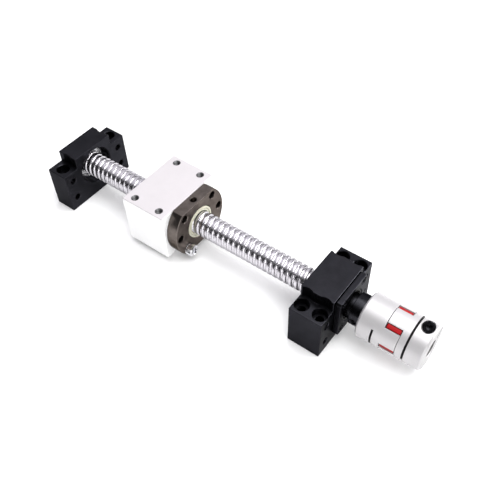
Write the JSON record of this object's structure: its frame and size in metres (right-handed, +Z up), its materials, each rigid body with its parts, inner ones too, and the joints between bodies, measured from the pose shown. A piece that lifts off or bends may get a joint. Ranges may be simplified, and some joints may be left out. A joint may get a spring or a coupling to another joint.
{
  "type": "ball screw assembly",
  "caption": "Ball screw with flanged nut in a block housing, stepped bearing supports at both ends and a three-jaw clamp coupling.",
  "frame": {"origin": "centre of the fixed-side support's base face, under the screw axis", "axes": "+X along the screw from the floating support to the motor side, +Y across, +Z up; the screw axis is 28 mm above the base"},
  "size_m": [0.3408, 0.07, 0.05],
  "materials": {
    "black_oxide_block": "satin black oxide",
    "black_oxide_steel": "black oxide, soft gloss",
    "seal_rubber": "matt",
    "bearing_shield_steel": "pressed sheet, satin",
    "bearing_steel": "ground",
    "cage_steel": "pressed sheet",
    "ground_screw_steel": "bright ground",
    "nut_steel": "ground, faint grey-brown",
    "ball_steel": "polished",
    "insert_steel": "satin",
    "wiper_plastic": "cream, matt",
    "housing_aluminium": "light satin anodised",
    "zinc_screw": "bright zinc",
    "coupling_aluminium": "turned, satin",
    "red_elastomer": "soft, matt red"
  },
  "bodies": {
    "supports": {"bf_housing": "black_oxide_block", "bf_bearing_outer_ring": "bearing_steel", "bf_bearing_shield_rear": "bearing_shield_steel", "bf_bearing_shield_front": "bearing_shield_steel", "bk_housing": "black_oxide_block", "bk_cover_plate": "black_oxide_block", "bk_cover_screw_1": "black_oxide_steel", "bk_cover_screw_2": "black_oxide_steel", "bk_cover_screw_3": "black_oxide_steel", "bk_cover_screw_4": "black_oxide_steel", "bk_seal_rear": "seal_rubber", "bk_seal_front": "seal_rubber", "bk_bearing_rear_outer_ring": "bearing_steel", "bk_bearing_front_outer_ring": "bearing_steel"},
    "screw": {"ball_screw_shaft": "ground_screw_steel", "bf_bearing_inner_ring": "bearing_steel", "bf_snap_ring": "black_oxide_steel", "bk_bearing_rear_inner_ring": "bearing_steel", "bk_bearing_front_inner_ring": "bearing_steel", "bk_collar_rear": "black_oxide_steel", "bk_collar_front": "black_oxide_steel", "bk_lock_nut": "black_oxide_steel", "bk_lock_nut_set_screw": "black_oxide_steel", "coupling_hub_screw_side": "coupling_aluminium", "coupling_clamp_screw_screw_side": "black_oxide_steel", "coupling_spider": "red_elastomer", "coupling_hub_motor_side": "coupling_aluminium", "coupling_clamp_screw_motor_side": "black_oxide_steel"},
    "nut_carriage": {"ball_nut": "nut_steel", "nut_ball_circuit_1": "ball_steel", "nut_ball_circuit_2": "ball_steel", "nut_ball_circuit_3": "ball_steel", "nut_ball_circuit_4": "ball_steel", "nut_return_insert_1": "insert_steel", "nut_return_insert_2": "insert_steel", "nut_return_insert_3": "insert_steel", "nut_return_insert_4": "insert_steel", "nut_wiper_front": "wiper_plastic", "nut_wiper_rear": "wiper_plastic", "nut_housing": "housing_aluminium", "nut_mount_screw_1": "zinc_screw", "nut_mount_screw_2": "zinc_screw"},
    "bf_cage": {"bf_bearing_balls_cage": "cage_steel"},
    "bk_rear_cage": {"bk_bearing_rear_balls_cage": "cage_steel"},
    "bk_front_cage": {"bk_bearing_front_balls_cage": "cage_steel"}
  },
  "joints": [
    {"name": "screw_spin", "type": "hinge", "parent": "supports", "child": "screw", "pos_m": [0, 0, 0.028], "axis": [1, 0, 0], "range_deg": [-7200, 4320]},
    {"name": "nut_slide", "type": "slide", "parent": "supports", "child": "nut_carriage", "axis": [1, 0, 0], "range_m": [-0.0601, 0.1001]},
    {"name": "bf_cage_spin", "type": "hinge", "parent": "supports", "child": "bf_cage", "pos_m": [0, 0, 0.028], "axis": [1, 0, 0], "range_deg": [-2880, 1730]},
    {"name": "bk_rear_cage_spin", "type": "hinge", "parent": "supports", "child": "bk_rear_cage", "pos_m": [0, 0, 0.028], "axis": [1, 0, 0], "range_deg": [-2880, 1730]},
    {"name": "bk_front_cage_spin", "type": "hinge", "parent": "supports", "child": "bk_front_cage", "pos_m": [0, 0, 0.028], "axis": [1, 0, 0], "range_deg": [-2880, 1730]}
  ],
  "couplings": [
    {"joint": "nut_slide", "follows": "screw_spin", "m_per_rad": -0.00079577},
    {"joint": "bf_cage_spin", "follows": "screw_spin", "ratio": 0.39915},
    {"joint": "bk_rear_cage_spin", "follows": "screw_spin", "ratio": 0.39915},
    {"joint": "bk_front_cage_spin", "follows": "screw_spin", "ratio": 0.39915}
  ]
}
